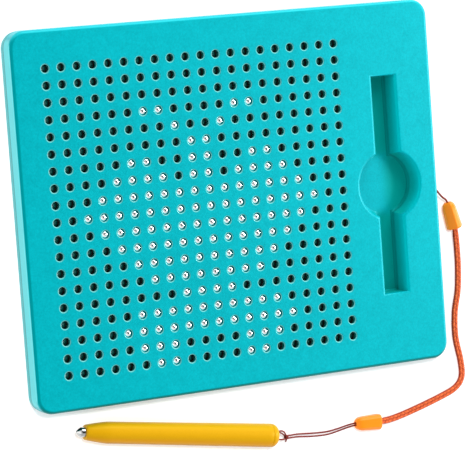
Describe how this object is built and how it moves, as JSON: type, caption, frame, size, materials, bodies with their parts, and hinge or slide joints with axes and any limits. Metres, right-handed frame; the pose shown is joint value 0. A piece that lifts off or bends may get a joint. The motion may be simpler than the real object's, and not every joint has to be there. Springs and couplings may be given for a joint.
{
  "type": "magnetic bead drawing board",
  "caption": "Flat bead drawing board with a perforated face over steel beads, a recessed stylus tray, and a magnetic stylus tethered by a braided lanyard.",
  "frame": {"origin": "centre of the board's flat back, on the table that the board, the stylus and the lanyard lie on", "axes": "+Z out of the perforated face, away from the table; +X to the right, towards the stylus tray; +Y to the top of the board"},
  "size_m": [0.2334, 0.2068, 0.012],
  "materials": {
    "cover_front": "moulded ABS, very fine matte texture",
    "cover_back": "moulded ABS, very fine matte texture",
    "cell_plastic": "moulded black polystyrene, dull",
    "sheet_rubber": "black silicone sheet, dull",
    "pad_foam": "dark cushioning pad, dull",
    "bead_steel": "polished bearing steel",
    "screw_steel": "zinc plated steel",
    "thread_fibre": "twisted polyester thread",
    "braid_fibre": "woven polyester braid",
    "sleeve_plastic": "moulded plastic, satin gloss",
    "stylus_plastic": "moulded ABS, satin gloss",
    "magnet_metal": "nickel plated magnet",
    "tip_steel": "polished steel"
  },
  "bodies": {
    "board": {"front_cover": "cover_front", "back_cover": "cover_back", "upper_cell_grid": "cell_plastic", "detent_sheet": "sheet_rubber", "lower_cell_grid": "cell_plastic", "bead_pad": "pad_foam", "case_screws": "screw_steel", "anchor_knot": "thread_fibre", "anchor_thread": "thread_fibre", "ferrule_board": "sleeve_plastic", "braid": "braid_fibre"},
    "stylus": {"stylus_barrel": "stylus_plastic", "stylus_tail_cap": "stylus_plastic", "stylus_magnet": "magnet_metal", "stylus_tip": "tip_steel", "stylus_thread_a": "thread_fibre", "stylus_thread_b": "thread_fibre", "ferrule_stylus": "sleeve_plastic"},
    "raised_row_04": {"raised_beads_row_04": "bead_steel"},
    "raised_row_05": {"raised_beads_row_05": "bead_steel"},
    "raised_row_06": {"raised_beads_row_06": "bead_steel"},
    "raised_row_07": {"raised_beads_row_07": "bead_steel"},
    "raised_row_08": {"raised_beads_row_08": "bead_steel"},
    "raised_row_09": {"raised_beads_row_09": "bead_steel"},
    "raised_row_10": {"raised_beads_row_10": "bead_steel"},
    "raised_row_11": {"raised_beads_row_11": "bead_steel"},
    "raised_row_12": {"raised_beads_row_12": "bead_steel"},
    "raised_row_13": {"raised_beads_row_13": "bead_steel"},
    "raised_row_14": {"raised_beads_row_14": "bead_steel"},
    "raised_row_15": {"raised_beads_row_15": "bead_steel"},
    "raised_row_16": {"raised_beads_row_16": "bead_steel"},
    "raised_row_17": {"raised_beads_row_17": "bead_steel"},
    "raised_row_18": {"raised_beads_row_18": "bead_steel"},
    "raised_row_19": {"raised_beads_row_19": "bead_steel"},
    "lowered_row_01": {"lowered_beads_row_01": "bead_steel"},
    "lowered_row_02": {"lowered_beads_row_02": "bead_steel"},
    "lowered_row_03": {"lowered_beads_row_03": "bead_steel"},
    "lowered_row_04": {"lowered_beads_row_04": "bead_steel"},
    "lowered_row_05": {"lowered_beads_row_05": "bead_steel"},
    "lowered_row_06": {"lowered_beads_row_06": "bead_steel"},
    "lowered_row_07": {"lowered_beads_row_07": "bead_steel"},
    "lowered_row_08": {"lowered_beads_row_08": "bead_steel"},
    "lowered_row_09": {"lowered_beads_row_09": "bead_steel"},
    "lowered_row_10": {"lowered_beads_row_10": "bead_steel"},
    "lowered_row_11": {"lowered_beads_row_11": "bead_steel"},
    "lowered_row_12": {"lowered_beads_row_12": "bead_steel"},
    "lowered_row_13": {"lowered_beads_row_13": "bead_steel"},
    "lowered_row_14": {"lowered_beads_row_14": "bead_steel"},
    "lowered_row_15": {"lowered_beads_row_15": "bead_steel"},
    "lowered_row_16": {"lowered_beads_row_16": "bead_steel"},
    "lowered_row_17": {"lowered_beads_row_17": "bead_steel"},
    "lowered_row_18": {"lowered_beads_row_18": "bead_steel"},
    "lowered_row_19": {"lowered_beads_row_19": "bead_steel"}
  },
  "joints": [
    {"name": "stylus_lift", "type": "slide", "parent": "board", "child": "stylus", "axis": [0, 0, 1], "range_m": [0, 0.04]},
    {"name": "push_down_row_04", "type": "slide", "parent": "board", "child": "raised_row_04", "axis": [0, 0, -1], "range_m": [0, 0.0034], "deforming": ["detent_sheet"]},
    {"name": "push_down_row_05", "type": "slide", "parent": "board", "child": "raised_row_05", "axis": [0, 0, -1], "range_m": [0, 0.0034], "deforming": ["detent_sheet"]},
    {"name": "push_down_row_06", "type": "slide", "parent": "board", "child": "raised_row_06", "axis": [0, 0, -1], "range_m": [0, 0.0034], "deforming": ["detent_sheet"]},
    {"name": "push_down_row_07", "type": "slide", "parent": "board", "child": "raised_row_07", "axis": [0, 0, -1], "range_m": [0, 0.0034], "deforming": ["detent_sheet"]},
    {"name": "push_down_row_08", "type": "slide", "parent": "board", "child": "raised_row_08", "axis": [0, 0, -1], "range_m": [0, 0.0034], "deforming": ["detent_sheet"]},
    {"name": "push_down_row_09", "type": "slide", "parent": "board", "child": "raised_row_09", "axis": [0, 0, -1], "range_m": [0, 0.0034], "deforming": ["detent_sheet"]},
    {"name": "push_down_row_10", "type": "slide", "parent": "board", "child": "raised_row_10", "axis": [0, 0, -1], "range_m": [0, 0.0034], "deforming": ["detent_sheet"]},
    {"name": "push_down_row_11", "type": "slide", "parent": "board", "child": "raised_row_11", "axis": [0, 0, -1], "range_m": [0, 0.0034], "deforming": ["detent_sheet"]},
    {"name": "push_down_row_12", "type": "slide", "parent": "board", "child": "raised_row_12", "axis": [0, 0, -1], "range_m": [0, 0.0034], "deforming": ["detent_sheet"]},
    {"name": "push_down_row_13", "type": "slide", "parent": "board", "child": "raised_row_13", "axis": [0, 0, -1], "range_m": [0, 0.0034], "deforming": ["detent_sheet"]},
    {"name": "push_down_row_14", "type": "slide", "parent": "board", "child": "raised_row_14", "axis": [0, 0, -1], "range_m": [0, 0.0034], "deforming": ["detent_sheet"]},
    {"name": "push_down_row_15", "type": "slide", "parent": "board", "child": "raised_row_15", "axis": [0, 0, -1], "range_m": [0, 0.0034], "deforming": ["detent_sheet"]},
    {"name": "push_down_row_16", "type": "slide", "parent": "board", "child": "raised_row_16", "axis": [0, 0, -1], "range_m": [0, 0.0034], "deforming": ["detent_sheet"]},
    {"name": "push_down_row_17", "type": "slide", "parent": "board", "child": "raised_row_17", "axis": [0, 0, -1], "range_m": [0, 0.0034], "deforming": ["detent_sheet"]},
    {"name": "push_down_row_18", "type": "slide", "parent": "board", "child": "raised_row_18", "axis": [0, 0, -1], "range_m": [0, 0.0034], "deforming": ["detent_sheet"]},
    {"name": "push_down_row_19", "type": "slide", "parent": "board", "child": "raised_row_19", "axis": [0, 0, -1], "range_m": [0, 0.0034], "deforming": ["detent_sheet"]},
    {"name": "draw_up_row_01", "type": "slide", "parent": "board", "child": "lowered_row_01", "axis": [0, 0, 1], "range_m": [0, 0.0034], "deforming": ["detent_sheet"]},
    {"name": "draw_up_row_02", "type": "slide", "parent": "board", "child": "lowered_row_02", "axis": [0, 0, 1], "range_m": [0, 0.0034], "deforming": ["detent_sheet"]},
    {"name": "draw_up_row_03", "type": "slide", "parent": "board", "child": "lowered_row_03", "axis": [0, 0, 1], "range_m": [0, 0.0034], "deforming": ["detent_sheet"]},
    {"name": "draw_up_row_04", "type": "slide", "parent": "board", "child": "lowered_row_04", "axis": [0, 0, 1], "range_m": [0, 0.0034], "deforming": ["detent_sheet"]},
    {"name": "draw_up_row_05", "type": "slide", "parent": "board", "child": "lowered_row_05", "axis": [0, 0, 1], "range_m": [0, 0.0034], "deforming": ["detent_sheet"]},
    {"name": "draw_up_row_06", "type": "slide", "parent": "board", "child": "lowered_row_06", "axis": [0, 0, 1], "range_m": [0, 0.0034], "deforming": ["detent_sheet"]},
    {"name": "draw_up_row_07", "type": "slide", "parent": "board", "child": "lowered_row_07", "axis": [0, 0, 1], "range_m": [0, 0.0034], "deforming": ["detent_sheet"]},
    {"name": "draw_up_row_08", "type": "slide", "parent": "board", "child": "lowered_row_08", "axis": [0, 0, 1], "range_m": [0, 0.0034], "deforming": ["detent_sheet"]},
    {"name": "draw_up_row_09", "type": "slide", "parent": "board", "child": "lowered_row_09", "axis": [0, 0, 1], "range_m": [0, 0.0034], "deforming": ["detent_sheet"]},
    {"name": "draw_up_row_10", "type": "slide", "parent": "board", "child": "lowered_row_10", "axis": [0, 0, 1], "range_m": [0, 0.0034], "deforming": ["detent_sheet"]},
    {"name": "draw_up_row_11", "type": "slide", "parent": "board", "child": "lowered_row_11", "axis": [0, 0, 1], "range_m": [0, 0.0034], "deforming": ["detent_sheet"]},
    {"name": "draw_up_row_12", "type": "slide", "parent": "board", "child": "lowered_row_12", "axis": [0, 0, 1], "range_m": [0, 0.0034], "deforming": ["detent_sheet"]},
    {"name": "draw_up_row_13", "type": "slide", "parent": "board", "child": "lowered_row_13", "axis": [0, 0, 1], "range_m": [0, 0.0034], "deforming": ["detent_sheet"]},
    {"name": "draw_up_row_14", "type": "slide", "parent": "board", "child": "lowered_row_14", "axis": [0, 0, 1], "range_m": [0, 0.0034], "deforming": ["detent_sheet"]},
    {"name": "draw_up_row_15", "type": "slide", "parent": "board", "child": "lowered_row_15", "axis": [0, 0, 1], "range_m": [0, 0.0034], "deforming": ["detent_sheet"]},
    {"name": "draw_up_row_16", "type": "slide", "parent": "board", "child": "lowered_row_16", "axis": [0, 0, 1], "range_m": [0, 0.0034], "deforming": ["detent_sheet"]},
    {"name": "draw_up_row_17", "type": "slide", "parent": "board", "child": "lowered_row_17", "axis": [0, 0, 1], "range_m": [0, 0.0034], "deforming": ["detent_sheet"]},
    {"name": "draw_up_row_18", "type": "slide", "parent": "board", "child": "lowered_row_18", "axis": [0, 0, 1], "range_m": [0, 0.0034], "deforming": ["detent_sheet"]},
    {"name": "draw_up_row_19", "type": "slide", "parent": "board", "child": "lowered_row_19", "axis": [0, 0, 1], "range_m": [0, 0.0034], "deforming": ["detent_sheet"]}
  ]
}
